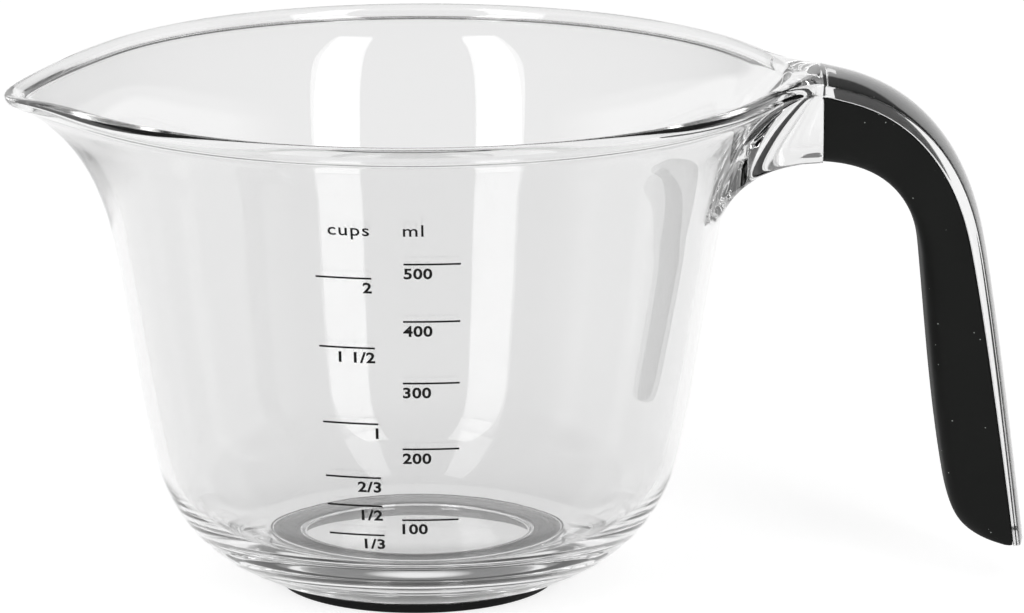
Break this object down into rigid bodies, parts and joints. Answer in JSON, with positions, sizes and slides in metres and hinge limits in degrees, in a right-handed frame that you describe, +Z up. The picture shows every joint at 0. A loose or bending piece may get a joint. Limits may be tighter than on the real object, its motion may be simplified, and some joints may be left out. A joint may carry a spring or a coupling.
{
  "type": "measuring mixing bowl",
  "caption": "Clear plastic mixing and measuring bowl with a flared rim, pouring spout, hooked handle with a soft black grip, and a black non-slip foot ring.",
  "frame": {"origin": "on the table, centred under the object's overall length and width, so the bowl's own axis lies on the spout side of it", "axes": "+Z up, +X from the spout towards the handle, -Y the side with the printed scales"},
  "size_m": [0.1896, 0.1384, 0.0971],
  "materials": {
    "clear_shell": null,
    "soft_grip": "matte moulded soft-touch elastomer",
    "foot_rubber": "matte moulded elastomer",
    "scale_ink": "black pad-printed ink"
  },
  "bodies": {
    "root": {"bowl_shell": "clear_shell", "handle_grip": "soft_grip", "base_ring": "foot_rubber", "scale_line_100_ml": "scale_ink", "scale_line_200_ml": "scale_ink", "scale_line_300_ml": "scale_ink", "scale_line_400_ml": "scale_ink", "scale_line_500_ml": "scale_ink", "scale_line_third_cup": "scale_ink", "scale_line_half_cup": "scale_ink", "scale_line_two_thirds_cup": "scale_ink", "scale_line_one_cup": "scale_ink", "scale_line_one_and_a_half_cup": "scale_ink", "scale_line_two_cup": "scale_ink"}
  },
  "joints": []
}
